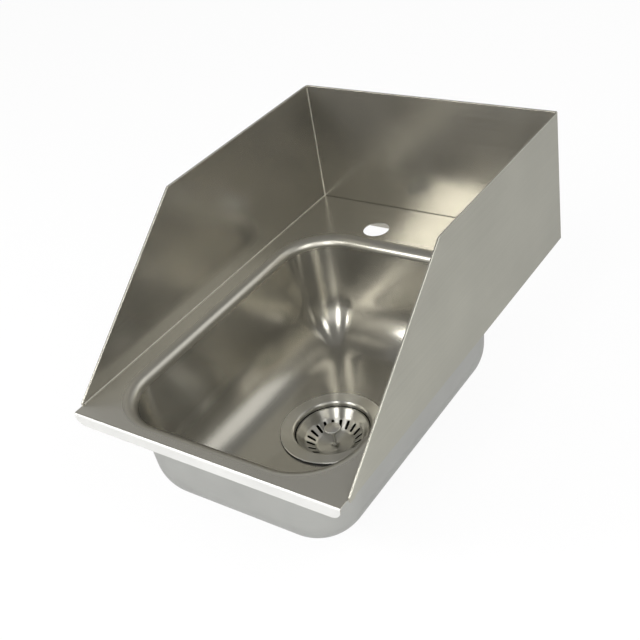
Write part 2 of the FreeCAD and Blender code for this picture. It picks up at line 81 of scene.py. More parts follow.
def brushedSteel(name, look):
    material, tree, shader = newMaterial(name)
    place = addNode(tree, "ShaderNodeTexCoord")
    strokes = addNode(tree, "ShaderNodeUVMap", uv_map=grainMap)
    stretch = addNode(tree, "ShaderNodeMapping", {
        "Vector": strokes, "Scale": (look["along"], look["across"], 1)})
    grain = addNode(tree, "ShaderNodeTexNoise", {
        "Vector": stretch, "Scale": 1, "Detail": 3, "Roughness": 0.6})
    cloud = addNode(tree, "ShaderNodeTexNoise", {
        "Vector": place.outputs["Object"], "Scale": look["cloud"]})
    shade = addNode(tree, "ShaderNodeMix", {
        0: look.get("cloudShare", 0.75), 2: grain, 3: cloud}, data_type="FLOAT")
    tone = addNode(tree, "ShaderNodeMix", {
        0: shade,
        6: (*[c * (1 - look["mottle"]) for c in look["tint"]], 1),
        7: (*[c * (1 + look["mottle"]) for c in look["tint"]], 1)}, data_type="RGBA")
    rough = addNode(tree, "ShaderNodeMapRange", {
        "Value": shade, "From Min": 0.3, "From Max": 0.7,
        "To Min": look["rough"][0], "To Max": look["rough"][1]})
    wave = addNode(tree, "ShaderNodeBump", {"Strength": 1, "Distance": look["wave"], "Height": cloud})
    scratch = addNode(tree, "ShaderNodeBump", {
        "Strength": 1, "Distance": look["scratch"], "Height": grain, "Normal": wave})
    tangent = addNode(tree, "ShaderNodeTangent", direction_type="UV_MAP", uv_map=grainMap)
    setInputs(shader, {
        "Base Color": tone.outputs[2], "Roughness": rough, "Normal": scratch, "Tangent": tangent,
        "Metallic": look.get("metal", 0.85), "Specular Tint": (0.7, 0.7, 0.7, 1),
        "Anisotropic": look["anisotropy"],
        "Anisotropic Rotation": look.get("turn", 0.25)})  # 0.25 smears across the strokes, 0 along them
    return material


def grainySolid(name, look):
    material, tree, shader = newMaterial(name)
    place = addNode(tree, "ShaderNodeTexCoord")
    speck = addNode(tree, "ShaderNodeTexNoise", {
        "Vector": place.outputs["Object"], "Scale": look["speck"], "Detail": 4, "Roughness": 0.65})
    tone = addNode(tree, "ShaderNodeMix", {
        0: speck, 6: (*look["dark"], 1), 7: (*look["light"], 1)}, data_type="RGBA")
    rough = addNode(tree, "ShaderNodeMapRange", {
        "Value": speck, "To Min": look["rough"][0], "To Max": look["rough"][1]})
    bump = addNode(tree, "ShaderNodeBump", {"Strength": 1, "Distance": look["bump"], "Height": speck})
    setInputs(shader, {
        "Base Color": tone.outputs[2], "Roughness": rough, "Normal": bump, "Metallic": look["metal"]})
    return material


# what the polishing leaves on flat sheet, on the drawn bowl and on turned pieces
sheetGrain = {"along": 6, "across": 380, "cloudShare": 0.6}
drawnGrain = {"along": 7, "across": 420, "cloud": 12, "cloudShare": 0.5, "mottle": 0.08,
              "scratch": 0.0001 * mm}
turnedGrain = {"along": 12, "across": 900, "scratch": 0.0005 * mm, "metal": 1}

deckSteel = brushedSteel("deckSteel", {
    **sheetGrain, "tint": (0.46, 0.444, 0.39), "mottle": 0.08, "rough": (0.2, 0.265), "anisotropy": 0.6,
    "cloud": 9, "wave": 0.4 * mm, "scratch": 0.0002 * mm})
splashSteel = brushedSteel("splashSteel", {
    **sheetGrain, "tint": (0.365, 0.351, 0.308), "mottle": 0.16, "rough": (0.2, 0.265), "anisotropy": 0.5,
    "cloud": 14, "wave": 0.6 * mm, "scratch": 0.0002 * mm})
splashOutside = brushedSteel("splashOutside", {
    **sheetGrain, "tint": (0.37, 0.364, 0.315), "mottle": 0.22, "rough": (0.285, 0.35), "anisotropy": 0.5,
    "cloud": 14, "wave": 0.6 * mm, "scratch": 0.0004 * mm})
# painted highlight: the front lip's steel is lighter than the deck's
lipHighlightSteel = brushedSteel("lipHighlightSteel", {
    "tint": (0.64, 0.638, 0.62), "mottle": 0.05, "rough": (0.46, 0.56), "anisotropy": 0.8,
    "along": 10, "across": 420, "cloud": 9, "wave": 0.1 * mm, "scratch": 0.0006 * mm})
bowlSteel = brushedSteel("bowlSteel", {
    **drawnGrain, "tint": (0.39, 0.376, 0.33), "rough": (0.18, 0.24), "anisotropy": 0.85, "wave": 0.12 * mm})
rimSteel = brushedSteel("rimSteel", {
    **drawnGrain, "tint": (0.42, 0.405, 0.355), "rough": (0.285, 0.34), "anisotropy": 0.5, "turn": 0,
    "wave": 0.1 * mm})
bowlOutside = brushedSteel("bowlOutside", {
    "tint": (0.395, 0.397, 0.378), "mottle": 0.14, "rough": (0.285, 0.4), "anisotropy": 0.5,
    "along": 12, "across": 300, "cloud": 22, "wave": 0.5 * mm, "scratch": 0.0004 * mm})
drainSteel = brushedSteel("drainSteel", {
    **turnedGrain, "tint": (0.58, 0.568, 0.516), "mottle": 0.12, "rough": (0.285, 0.36), "anisotropy": 0.9,
    "cloud": 40, "wave": 0.04 * mm})
# painted shade: the basket's steel is tinted darker than the strainer's, setting off the knob
basketShadedSteel = brushedSteel("basketShadedSteel", {
    **turnedGrain, "tint": (0.5, 0.49, 0.445), "mottle": 0.16, "rough": (0.285, 0.35), "anisotropy": 0.93,
    "cloud": 40, "wave": 0.04 * mm})
knobSteel = brushedSteel("knobSteel", {
    **turnedGrain, "tint": (0.6, 0.59, 0.55), "mottle": 0.1, "rough": (0.285, 0.34), "anisotropy": 0.3,
    "cloud": 60, "wave": 0.02 * mm})
# painted highlight: near-white steel for the outer edges of the flange, the basket's lip and the knob
edgeHighlightSteel = brushedSteel("edgeHighlightSteel", {
    **turnedGrain, "tint": (0.86, 0.85, 0.8), "mottle": 0.1, "rough": (0.3, 0.4), "anisotropy": 0.3,
    "cloud": 60, "wave": 0.02 * mm})
# painted shade: a near-black steel for the drain's inside below the basket
drainShadeSteel = brushedSteel("drainShadeSteel", {
    "tint": (0.05, 0.048, 0.045), "mottle": 0.3, "rough": (0.5, 0.7), "anisotropy": 0.3, "metal": 1,
    "along": 40, "across": 300, "cloud": 160, "wave": 0.1 * mm, "scratch": 0.002 * mm})
# ground weld finish with a lighter tint, which is a painted highlight
weldHighlightSteel = brushedSteel("weldHighlightSteel", {
    "tint": (0.66, 0.64, 0.58), "mottle": 0.18, "rough": (0.3, 0.5), "anisotropy": 0,
    "along": 300, "across": 300, "cloud": 120, "wave": 0.05 * mm, "scratch": 0.01 * mm})
blackRubber = grainySolid("blackRubber", {
    "dark": (0.012, 0.012, 0.012), "light": (0.028, 0.027, 0.026), "rough": (0.45, 0.7),
    "speck": 420, "bump": 0.03 * mm, "metal": 0})
fibreBoard = grainySolid("fibreBoard", {
    "dark": (0.20, 0.12, 0.07), "light": (0.34, 0.22, 0.13), "rough": (0.7, 0.9),
    "speck": 700, "bump": 0.06 * mm, "metal": 0})
castMetal = grainySolid("castMetal", {
    "dark": (0.34, 0.34, 0.34), "light": (0.48, 0.48, 0.47), "rough": (0.35, 0.6),
    "speck": 900, "bump": 0.04 * mm, "metal": 1})
whiteNylon = grainySolid("whiteNylon", {
    "dark": (0.62, 0.62, 0.60), "light": (0.74, 0.74, 0.72), "rough": (0.35, 0.5),
    "speck": 300, "bump": 0.01 * mm, "metal": 0})
print("finishes made:", len(bpy.data.materials))


def roundedPath(points, steps=6):
    # corners given as (a, b, radius) become arcs; the path is closed
    path = []
    for i, point in enumerate(points):
        here = Vector(point[:2])
        if len(point) < 3:
            path.append(here)
            continue
        back = (Vector(points[i - 1][:2]) - here).normalized()
        ahead = (Vector(points[(i + 1) % len(points)][:2]) - here).normalized()
        half = back.angle(ahead) / 2
        centre = here + (back + ahead).normalized() * point[2] / math.sin(half)
        spoke = here + back * point[2] / math.tan(half) - centre
        turn = (math.pi - 2 * half) * (1 if back.x * ahead.y - back.y * ahead.x < 0 else -1)
        for k in range(steps + 1):
            path.append(centre + Matrix.Rotation(turn * k / steps, 2) @ spoke)
    return path


def guardedPath(path, guard):
    # extra points close to both ends of each long run keep the flats flat when shaded smooth
    result = []
    for i, here in enumerate(path):
        ahead = path[(i + 1) % len(path)]
        result.append(here)
        run = (ahead - here).length
        if run > 3 * guard:
            step = (ahead - here) / run * guard
            result.extend((here + step, ahead - step))
    return result


def placeObject(name, data):
    item = bpy.data.objects.new(name, data)
    bpy.context.scene.collection.objects.link(item)
    return item


def newPiece(name, mesh, finish):
    mesh.materials.clear()
    mesh.materials.append(finish)
    return placeObject(name, mesh)


def paintFaces(piece, finish, chosen):
    # gives a second finish to the faces that the test picks
    piece.data.materials.append(finish)
    for face in piece.data.polygons:
        if chosen(face):
            face.material_index = len(piece.data.materials) - 1


def toMesh(work, name):
    mesh = bpy.data.meshes.new(name)
    work.to_mesh(mesh)
    work.free()
    return mesh


def writeMap(mesh, corners):
    layer = mesh.uv_layers.new(name=grainMap)
    for loop, uv in zip(layer.data, corners):
        loop.uv = uv


def flatMap(mesh):
    # strokes lie level on upright sheets and run left to right on level ones
    corners = [None] * len(mesh.loops)
    for face in mesh.polygons:
        side = max(range(3), key=lambda axis: abs(face.normal[axis]))
        for loop in face.loop_indices:
            x, y, z = mesh.vertices[mesh.loops[loop].vertex_index].co
            corners[loop] = ((y, z), (x, z), (x, y))[side]
    writeMap(mesh, corners)


def loftMesh(name, rings):
    # quads between equally long closed rings; the last ring joins the first
    count = len(rings[0])
    verts = [point for ring in rings for point in ring]
    girth = [0]
    widest = max(rings, key=lambda ring: max(p.xy.length for p in ring))
    for j in range(count):
        girth.append(girth[-1] + (widest[(j + 1) % count] - widest[j]).length)
    climb = [0]
    for i in range(len(rings)):
        climb.append(climb[-1] + (rings[(i + 1) % len(rings)][0] - rings[i][0]).length)
    faces = []
    corners = []
    for i in range(len(rings)):
        k = (i + 1) % len(rings)
        for j in range(count):
            m = (j + 1) % count
            faces.append((i * count + j, i * count + m, k * count + m, k * count + j))
            corners += [(girth[j], climb[i]), (girth[j + 1], climb[i]),
                        (girth[j + 1], climb[i + 1]), (girth[j], climb[i + 1])]
    mesh = bpy.data.meshes.new(name)
    mesh.from_pydata(verts, [], faces)
    writeMap(mesh, corners)
    return mesh


def outward(mesh, merge=1e-7):
    # joins doubled points, drops what is left loose and turns the faces out
    work = bmesh.new()
    work.from_mesh(mesh)
    bmesh.ops.remove_doubles(work, verts=work.verts, dist=merge)
    bmesh.ops.delete(work, geom=[edge for edge in work.edges if edge.is_wire], context="EDGES")
    bmesh.ops.delete(work, geom=[vert for vert in work.verts if not vert.link_faces], context="VERTS")
    bmesh.ops.recalc_face_normals(work, faces=work.faces)
    work.to_mesh(mesh)
    work.free()
    mesh.shade_smooth()
    return mesh


def roundRing(radius, z, steps):
    return [Vector((radius * math.cos(a), radius * math.sin(a), z))
            for a in (2 * math.pi * j / steps for j in range(steps))]


def turnedMesh(name, profile, steps=160, guard=0.2 * mm, arcSteps=6):
    # profile of (radius, height[, corner radius]) turned about the drain's axis; a radius of 0 closes on it
    path = guardedPath(roundedPath(profile, arcSteps), guard)
    return outward(loftMesh(name, [roundRing(radius, height, steps) for radius, height in path]))


def ringProfile(bore, outer, low, high, ease):
    return [(bore, low, ease), (outer, low, ease), (outer, high, ease), (bore, high, ease)]


def easedBlock(name, low, high, ease):
    # a block between two corners, its edges rounded
    low, high = Vector(low), Vector(high)
    work = bmesh.new()
    bmesh.ops.create_cube(work, size=1)
    bmesh.ops.transform(work, verts=work.verts,
                        matrix=Matrix.Translation((low + high) / 2) @ Matrix.Diagonal((*(high - low), 1)))
    bmesh.ops.bevel(work, geom=work.edges, offset=ease, segments=3, affect="EDGES", profile=0.5)
    mesh = toMesh(work, name)
    mesh.shade_smooth()
    return mesh


def bakedMesh(piece):
    bpy.context.view_layer.update()
    return bpy.data.meshes.new_from_object(piece.evaluated_get(bpy.context.evaluated_depsgraph_get()))


def applyModifiers(piece):
    baked = bakedMesh(piece)
    piece.modifiers.clear()
    piece.data = baked
    return baked


def gather(name, meshes):
    work = bmesh.new()
    for mesh in meshes:
        work.from_mesh(mesh)
    return toMesh(work, name)


def settle(piece, body, slot, *nodes):
    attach(piece, body)
    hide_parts(*nodes)
    print("piece:", piece.name, len(piece.data.polygons), "faces")


def newTree(name, **sockets):
    # every tree takes geometry and a finish, with its own inputs in between
    tree = bpy.data.node_groups.new(name, "GeometryNodeTree")
    for kind, labels in (("Geometry", ["Geometry"]), *sockets.items(), ("Material", ["Finish"])):
        for label in labels:
            tree.interface.new_socket(label, in_out="INPUT", socket_type="NodeSocket" + kind)
    tree.interface.new_socket("Geometry", in_out="OUTPUT", socket_type="NodeSocketGeometry")
    return tree, addNode(tree, "NodeGroupInput").outputs


def finishTree(tree, given, shape):
    real = addNode(tree, "GeometryNodeRealizeInstances", {"Geometry": shape})
    paint = addNode(tree, "GeometryNodeSetMaterial", {"Geometry": real, "Material": given["Finish"]})
    addNode(tree, "NodeGroupOutput", {"Geometry": paint})
    return tree


def aroundAxisTree():
    tree, given = newTree("aroundAxis", Int=["Count"])
    points = addNode(tree, "GeometryNodePoints", {"Count": given["Count"]})
    index = addNode(tree, "GeometryNodeInputIndex")
    share = mathNode(tree, "DIVIDE", index, given["Count"])
    turn = mathNode(tree, "MULTIPLY", share, 2 * math.pi)
    spin = addNode(tree, "ShaderNodeCombineXYZ", {"Z": turn})
    facing = addNode(tree, "FunctionNodeEulerToRotation", {0: spin})
    copies = addNode(tree, "GeometryNodeInstanceOnPoints", {
        "Points": points, "Instance": given["Geometry"], "Rotation": facing})
    return finishTree(tree, given, copies)


def weldBeadTree():
    tree, given = newTree("weldBead", Vector=["Start", "End"],
                          Float=["Bead radius", "Ripple", "Pitch", "Seed"])
    line = addNode(tree, "GeometryNodeCurvePrimitiveLine", {"Start": given["Start"], "End": given["End"]})
    cut = addNode(tree, "GeometryNodeResampleCurve", {"Curve": line, "Length": given["Pitch"]}, mode="LENGTH")
    place = addNode(tree, "GeometryNodeInputPosition")
    noise = addNode(tree, "ShaderNodeTexNoise", {
        "Vector": place, "W": given["Seed"], "Scale": 180, "Detail": 2}, noise_dimensions="4D")
    swing = mathNode(tree, "SUBTRACT", noise, 0.5)
    gain = mathNode(tree, "MULTIPLY_ADD", swing, given["Ripple"], 1)
    thick = addNode(tree, "GeometryNodeSetCurveRadius", {"Curve": cut, "Radius": gain})
    radius = addNode(tree, "GeometryNodeInputRadius")
    ring = addNode(tree, "GeometryNodeCurvePrimitiveCircle", {
        "Resolution": 12, "Radius": given["Bead radius"]})
    sweep = addNode(tree, "GeometryNodeCurveToMesh", {
        "Curve": thick, "Profile Curve": ring, "Scale": radius, "Fill Caps": True})
    smooth = addNode(tree, "GeometryNodeSetShadeSmooth", {0: sweep})
    return finishTree(tree, given, smooth)


def threadTree():
    tree, given = newTree("thread", Float=["Radius", "Height", "Turns", "Base", "Ridge"])
    helix = addNode(tree, "GeometryNodeCurveSpiral", {
        "Resolution": 72, "Rotations": given["Turns"], "Start Radius": given["Radius"],
        "End Radius": given["Radius"], "Height": given["Height"]})
    lift = addNode(tree, "ShaderNodeCombineXYZ", {"Z": given["Base"]})
    rise = addNode(tree, "GeometryNodeTransform", {"Geometry": helix, "Translation": lift})
    ridge = addNode(tree, "GeometryNodeCurvePrimitiveCircle", {"Resolution": 6, "Radius": given["Ridge"]})
    sweep = addNode(tree, "GeometryNodeCurveToMesh", {
        "Curve": rise, "Profile Curve": ridge, "Fill Caps": True})
    return finishTree(tree, given, sweep)


def runTree(tree, seedMesh, values):
    # fills the tree's named inputs by identifier, then bakes the result to a plain mesh
    carrier = placeObject("carrier", seedMesh)
    modifier = carrier.modifiers.new(tree.name, "NODES")
    modifier.node_group = tree
    for item in tree.interface.items_tree:
        if item.in_out == "INPUT" and item.name in values:
            modifier[item.identifier] = values[item.name]
    mesh = bakedMesh(carrier)
    bpy.data.objects.remove(carrier)
    return mesh


aroundAxis = aroundAxisTree()
weldBead = weldBeadTree()
thread = threadTree()
print("node trees built")

deckLow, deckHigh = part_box("deck")
bowlLow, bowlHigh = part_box("bowl")
deckTop = deckHigh.z
bowlForm = {
    "sheet": 1.2 * mm, "land": 2 * mm, "roll": 11.5 * mm, "rollStart": 0.4 * mm, "rimCorner": 69.5 * mm,
    "draft": math.radians(3.5), "cove": 57 * mm, "flute": 9 * mm, "drainRadius": 45.3 * mm,
    "sideSteps": 18, "cornerSteps": 32, "rollSteps": 20, "wallSteps": 8, "coveSteps": 28, "floorSteps": 10}


def rimRing(halfX, halfY, corner, z):
    # starts at the front of the right-hand side, out of sight in the photograph's view
    ring = []
    side = bowlForm["sideSteps"]
    arc = bowlForm["cornerSteps"]
    for quarter in range(4):
        reachX, reachY = (halfX, halfY) if quarter % 2 == 0 else (halfY, halfX)
        turn = Matrix.Rotation(quarter * math.pi / 2, 2)
        flat = reachY - corner
        points = [Vector((reachX, -flat + 2 * flat * k / side)) for k in range(side)]
        for k in range(arc):
            angle = math.pi / 2 * k / arc
            arm = Vector((math.cos(angle), math.sin(angle))) * corner
            points.append(Vector((reachX - corner, flat)) + arm)
        ring += [(turn @ p).to_3d() + Vector((0, 0, z)) for p in points]
    return ring


def bowlRing(inset, z):
    # the corner tightens as the bowl draws in, and ends in a soft flute
    flute = bowlForm["flute"]
    spare = bowlForm["rimCorner"] - flute ** 2 / bowlForm["rimCorner"] - inset
    corner = (spare + math.sqrt(spare ** 2 + 4 * flute ** 2)) / 2
    return rimRing(bowlHigh.x - inset, bowlHigh.y - inset, corner, z)


def bowlMesh():
    f = bowlForm
    sheet, roll, draft, cove = (f[key] for key in ("sheet", "roll", "draft", "cove"))
    floor = bowlLow.z + sheet
    line = [(0, deckTop, 0, 1)]  # inset, height and the inside's normal, from the rim down
    reach = f["land"] + roll - f["rollStart"]
    ending = math.atan(reach / roll / math.tan(draft))  # where the roll has the wall's slope
    for k in range(f["rollSteps"] + 1):
        a = ending * k / f["rollSteps"]
        tilt = Vector((roll * math.sin(a), reach * math.cos(a))).normalized()
        line.append((f["rollStart"] + reach * math.sin(a), deckTop - roll + roll * math.cos(a), *tilt))
    rollInset, rollZ = line[-1][:2]
    coveZ = floor + cove * (1 - math.sin(draft))
    for k in range(1, f["wallSteps"] + 1):
        z = rollZ + (coveZ - rollZ) * k / f["wallSteps"]
        line.append((rollInset + (rollZ - z) * math.tan(draft), z, math.cos(draft), math.sin(draft)))
    centre = line[-1][0] + cove * math.cos(draft)
    for k in range(1, f["coveSteps"] + 1):
        a = draft + (math.pi / 2 - draft) * k / f["coveSteps"]
        nx, nz = math.cos(a), math.sin(a)
        line.append((centre - cove * nx, floor + cove - cove * nz, nx, nz))
    inner = [bowlRing(inset, z) for inset, z, _, _ in line]
    outer = [bowlRing(inset - sheet * nx, z - sheet * nz) for inset, z, nx, nz in line]
    for rings in (inner, outer):  # the floor runs in to the drain hole
        edge = rings[-1]
        level = Vector((0, 0, edge[0].z))
        for k in range(1, f["floorSteps"] + 1):
            rings.append([p.xy.lerp(p.xy.normalized() * f["drainRadius"], k / f["floorSteps"]).to_3d() + level
                          for p in edge])
    mesh = outward(loftMesh("bowl", inner + outer[::-1]))
    mesh.set_sharp_from_angle(angle=math.radians(40))
    return mesh


bowlSkin = newPiece("bowlSkin", bowlMesh(), bowlSteel)
paintFaces(bowlSkin, rimSteel, lambda face: face.center.z > deckTop - bowlForm["roll"])
paintFaces(bowlSkin, bowlOutside,
           lambda face: face.normal.z < -1e-4 or face.center.xy.dot(face.normal.xy) > 0)
settle(bowlSkin, "sink", "bowl_steel", "bowl")

deckForm = {
    "sheet": 1.2 * mm, "lipDrop": 14 * mm, "lipBend": 2.6 * mm, "lipCorner": 11 * mm,
    "rearDrop": 35 * mm, "rearBend": 1.6 * mm, "rearClip": 30 * mm, "foldSteps": 8,
    "tapSpacing": 101.6 * mm, "tapRadius": 15.875 * mm, "tapY": 214 * mm, "cutDepth": 20 * mm}


def deckSkinMesh():
    # level skin between the bowl's rim and the folds, then the two folded edges
    f = deckForm
    work = bmesh.new()
    front = deckLow.y + f["lipBend"]
    rear = deckHigh.y - f["rearBend"]
    half = deckHigh.x
    aperture = rimRing(bowlHigh.x, bowlHigh.y, bowlForm["rimCorner"], deckTop)
    arc = bowlForm["cornerSteps"]
    side = bowlForm["sideSteps"]
    rim = []
    for quarter in range(4):
        start = quarter * (side + arc)
        corner = Vector((half if quarter in (0, 3) else -half, rear if quarter in (0, 1) else front, deckTop))

        def toSide(p):
            return Vector((corner.x, p.y, deckTop))

        def toFold(p):
            return Vector((p.x, corner.y, deckTop))

        first, last = (toSide, toFold) if quarter % 2 == 0 else (toFold, toSide)
        rim += [first(aperture[start + k]) for k in range(side)]
        begin = first(aperture[start + side])
        ending = last(aperture[(start + side + arc) % len(aperture)])
        for k in range(arc):
            t = 2 * k / arc
            if t <= 1:
                rim.append(begin.lerp(corner, math.sin(t * math.pi / 2)))
            else:
                rim.append(corner.lerp(ending, 1 - math.cos((t - 1) * math.pi / 2)))
    rows = []
    for t in (0, 0.3, 0.65, 0.985, 1):  # the last strip keeps the top flat beside the folds
        rows.append([work.verts.new(a.lerp(b, t)) for a, b in zip(aperture, rim)])
    for low, high in zip(rows, rows[1:]):
        for j in range(len(low)):
            m = (j + 1) % len(low)
            work.faces.new((low[j], high[j], high[m], low[m]))

    def fold(edge, bend, outwardY, lowAt):
        columns = []
        for vert in edge:
            column = [vert]
            for k in range(1, f["foldSteps"] + 1):
                a = math.pi / 2 * k / f["foldSteps"]
                shift = Vector((0, outwardY * bend * math.sin(a), bend * (math.cos(a) - 1)))
                column.append(work.verts.new(vert.co + shift))
            end = column[-1].co.copy()
            for t in (0.04, 0.5, 1):  # the short first step keeps the flange flat under its bend
                column.append(work.verts.new((end.x, end.y, end.z + (lowAt(end.x) - end.z) * t)))
            columns.append(column)
        for left, right in zip(columns, columns[1:]):
            for k in range(len(left) - 1):
                work.faces.new((left[k], left[k + 1], right[k + 1], right[k]))

    def lipLow(x):  # the lip's lower corners are round
        over = max(0, abs(x) - (half - f["lipCorner"]))
        return deckTop - f["lipDrop"] + f["lipCorner"] - math.sqrt(max(0, f["lipCorner"] ** 2 - over ** 2))

    def rearLow(x):  # the rear flange's are cut off at 45 degrees
        return deckTop - f["rearDrop"] + max(0, abs(x) - (half - f["rearClip"]))

    frontEdge = sorted((v for v in rows[-1] if abs(v.co.y - front) < tiny), key=lambda v: v.co.x)
    rearEdge = sorted((v for v in rows[-1] if abs(v.co.y - rear) < tiny), key=lambda v: -v.co.x)
    fold(frontEdge, f["lipBend"], -1, lipLow)
    fold(rearEdge, f["rearBend"], 1, rearLow)
    bmesh.ops.recalc_face_normals(work, faces=work.faces)
    if sum(face.normal.z for face in work.faces) < 0:
        bmesh.ops.reverse_faces(work, faces=work.faces)
    mesh = toMesh(work, "deck")
    mesh.shade_smooth()
    return mesh


def tapCutter(x):
    work = bmesh.new()
    bmesh.ops.create_cone(work, cap_ends=True, segments=96, radius1=deckForm["tapRadius"],
                          radius2=deckForm["tapRadius"], depth=deckForm["cutDepth"],
                          matrix=Matrix.Translation((x, deckForm["tapY"], deckTop)))
    return placeObject("tapCutter", toMesh(work, "tapCutter"))


deckSheet = newPiece("deckSheet", deckSkinMesh(), deckSteel)
wall = deckSheet.modifiers.new("sheet", "SOLIDIFY")
wall.thickness = deckForm["sheet"]
wall.offset = -1
tapCutters = [tapCutter(sign * deckForm["tapSpacing"] / 2) for sign in (-1, 1)]
for cutter in tapCutters:
    cut = deckSheet.modifiers.new("tapHole", "BOOLEAN")
    cut.object = cutter
    cut.solver = "EXACT"
deckMesh = applyModifiers(deckSheet)
deckMesh.set_sharp_from_angle(angle=math.radians(30))
flatMap(deckMesh)
# the front lip's faces get the lighter steel, a painted highlight
paintFaces(deckSheet, lipHighlightSteel,
           lambda face: face.normal.y < -0.5 and face.center.y < deckLow.y + deckForm["lipBend"])
for cutter in tapCutters:
    bpy.data.objects.remove(cutter)
settle(deckSheet, "sink", "deck_steel", "deck")

leftLow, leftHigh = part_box("left_splash")
backLow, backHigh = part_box("backsplash")
splashForm = {
    "sheet": 1.2 * mm, "leaf": 1.4 * mm, "hemWidth": 8.4 * mm, "hemNotch": 4 * mm, "nose": 1.25 * mm,
    "noseRun": 20 * mm, "near": 0.1 * mm, "edge": 0.3 * mm, "tip": 2 * mm, "topRun": 266.7 * mm,
    "faceY": 269 * mm, "groove": 0.9 * mm}


def bevelPiece(piece, hasNose):
    # edges that the test picks are rounded to the nose radius, the rest are eased
    bevel = piece.modifiers.new("rounding", "BEVEL")
    bevel.limit_method = "WEIGHT"
    bevel.width = splashForm["nose"]
    bevel.segments = 4
    bevel.harden_normals = True
    layer = piece.data.attributes.new("bevel_weight_edge", "FLOAT", "EDGE")
    for edge in piece.data.edges:
        a, b = (piece.data.vertices[i].co for i in edge.vertices)
        layer.data[edge.index].value = 1 if hasNose(a, b) else splashForm["edge"] / splashForm["nose"]
    piece.data.shade_smooth()
    flatMap(applyModifiers(piece))


def sideSplash(name, node, side):
    f = splashForm
    low = leftLow.z
    top = leftHigh.z
    front = leftLow.y
    back = leftHigh.y
    tip = deckTop + f["tip"]
    knee = f["faceY"] - f["topRun"]
    run = knee - front
    rise = top - tip
    slope = math.hypot(run, rise)
    width = f["hemWidth"]
    hemLow = top - width
    hemKnee = knee + width * (slope - run) / rise
    hemFoot = front + (width * slope - run * (tip - low)) / rise
    notch = back - f["hemNotch"]
    inside = side * deckHigh.x
    outside = inside + side * f["sheet"]
    outer = outside + side * f["leaf"]
    work = bmesh.new()
    spots = {}

    def vert(x, y, z):
        key = (round(x, 7), round(y, 7), round(z, 7))
        if key not in spots:
            spots[key] = work.verts.new((x, y, z))
        return spots[key]

    def addFace(*points):
        work.faces.new([vert(*p) for p in points])

    inner = [(front, low), (hemFoot, low), (back, low), (back, top), (notch, top), (knee, top), (front, tip)]
    plain = [(hemFoot, low), (back, low), (back, top), (notch, top), (notch, hemLow), (hemKnee, hemLow)]
    hem = [(front, low), (hemFoot, low), (hemKnee, hemLow), (notch, hemLow), (notch, top), (knee, top),
           (front, tip)]
    for x, outline in ((inside, inner), (outside, plain), (outer, hem)):
        addFace(*[(x, y, z) for y, z in outline])
    for start, end, edge in ((outside, outer, hem[1:5]), (inside, outside, inner[1:5]),
                             (inside, outer, hem[5:] + hem[:1])):
        for a, b in zip(edge, edge[1:]):
            addFace((start, *a), (start, *b), (end, *b), (end, *a))
    addFace((inside, front, low), (inside, hemFoot, low), (outside, hemFoot, low), (outer, hemFoot, low),
            (outer, front, low))
    addFace((inside, knee, top), (outer, knee, top), (outer, notch, top), (outside, notch, top),
            (inside, notch, top))
    bmesh.ops.recalc_face_normals(work, faces=work.faces)
    piece = newPiece(name, toMesh(work, name), splashSteel)

    def hasNose(a, b):
        onTop = all(p.z > min(tip + (p.y - front) * rise / run, top) - f["near"] for p in (a, b))
        onSkin = abs(a.x - b.x) < tiny and min(abs(a.x - inside), abs(a.x - outer)) < tiny
        return onTop and onSkin and (a - b).length > f["noseRun"]

    bevelPiece(piece, hasNose)
    paintFaces(piece, splashOutside, lambda face: face.normal.x * side > 0.5)
    settle(piece, "sink", "deck_steel", node)


def backSplash():
    f = splashForm
    front = f["faceY"]
    back = front + f["sheet"]
    rear = back + f["leaf"]
    top = backHigh.z
    low = backLow.z
    hemLow = top - f["hemWidth"]
    groove = f["groove"]  # open seam along the foot
    section = [(front + groove, low), (back, low), (back, hemLow), (rear, hemLow), (rear, top), (front, top),
               (front, low + groove), (front + groove, low + groove)]
    work = bmesh.new()
    ends = [[work.verts.new((x, y, z)) for y, z in section] for x in (backLow.x, backHigh.x)]
    for k in range(len(section)):
        m = (k + 1) % len(section)
        work.faces.new((ends[0][k], ends[0][m], ends[1][m], ends[1][k]))
    for end in ends:
        work.faces.new(end)
    bmesh.ops.recalc_face_normals(work, faces=work.faces)
    piece = newPiece("backSplash", toMesh(work, "backSplash"), splashSteel)
    bevelPiece(piece, lambda a, b: min(a.z, b.z) > top - f["near"] and abs(a.x - b.x) > f["noseRun"])
    paintFaces(piece, splashOutside, lambda face: face.normal.y > 0.5)
    settle(piece, "sink", "deck_steel", "backsplash")


sideSplash("leftSplash", "left_splash", -1)
sideSplash("rightSplash", "right_splash", 1)
backSplash()

weldForm = {"radius": 0.75 * mm, "ripple": 0.5, "pitch": 1.2 * mm, "sink": 0.25 * mm,
            "frontGap": 2 * mm, "topGap": 3 * mm}


def weldRuns():
    # the seams inside the splashes, ground to a thin line; their lighter tint is a painted highlight over the
    # ground finish
    x = deckHigh.x - weldForm["sink"]
    y = splashForm["faceY"] - weldForm["sink"]
    z = deckTop + weldForm["sink"]
    front = leftLow.y + weldForm["frontGap"]
    top = backHigh.z - weldForm["topGap"]
    runs = [((-x, front, z), (-x, y, z)), ((x, front, z), (x, y, z)),
            ((-x, y, z), (-x, y, top)), ((x, y, z), (x, y, top))]
    beads = []
    for seed, (start, end) in enumerate(runs):
        beads.append(runTree(weldBead, bpy.data.meshes.new("seam"), {
            "Start": start, "End": end, "Bead radius": weldForm["radius"], "Ripple": weldForm["ripple"],
            "Pitch": weldForm["pitch"], "Seed": float(seed), "Finish": weldHighlightSteel}))
    whole = gather("welds", beads)
    flatMap(whole)
    return whole


welds = newPiece("welds", weldRuns(), weldHighlightSteel)
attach(welds, "sink")
print("piece: welds", len(welds.data.polygons), "faces")

